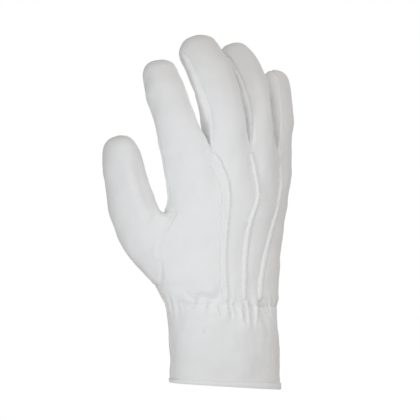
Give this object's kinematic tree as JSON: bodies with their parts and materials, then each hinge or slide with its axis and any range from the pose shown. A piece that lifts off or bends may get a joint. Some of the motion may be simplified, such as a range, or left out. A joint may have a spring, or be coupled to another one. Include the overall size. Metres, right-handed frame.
{
  "type": "dress glove",
  "caption": "White cotton jersey dress glove for the right hand, with sewn ribs on its back, strips between the fingers, a gathered wrist and a hemmed cuff.",
  "frame": {"origin": "centre of the cuff's mouth, where a wrist goes in", "axes": "+Z from the cuff to the fingers, -Y out of the back of the hand, -X to the thumb"},
  "size_m": [0.1451, 0.0667, 0.249],
  "materials": {
    "jersey": "matt bleached cotton jersey",
    "hem_thread": "matt overlocked cotton thread",
    "elastic": "matt covered elastic"
  },
  "bodies": {
    "root": {"hand_back": "jersey", "hand_palm": "jersey", "thumb": "jersey", "fourchette_1": "jersey", "fourchette_2": "jersey", "fourchette_3": "jersey", "back_point_1": "jersey", "back_point_2": "jersey", "back_point_3": "jersey", "cuff_hem": "hem_thread", "wrist_elastic": "elastic"}
  },
  "joints": []
}
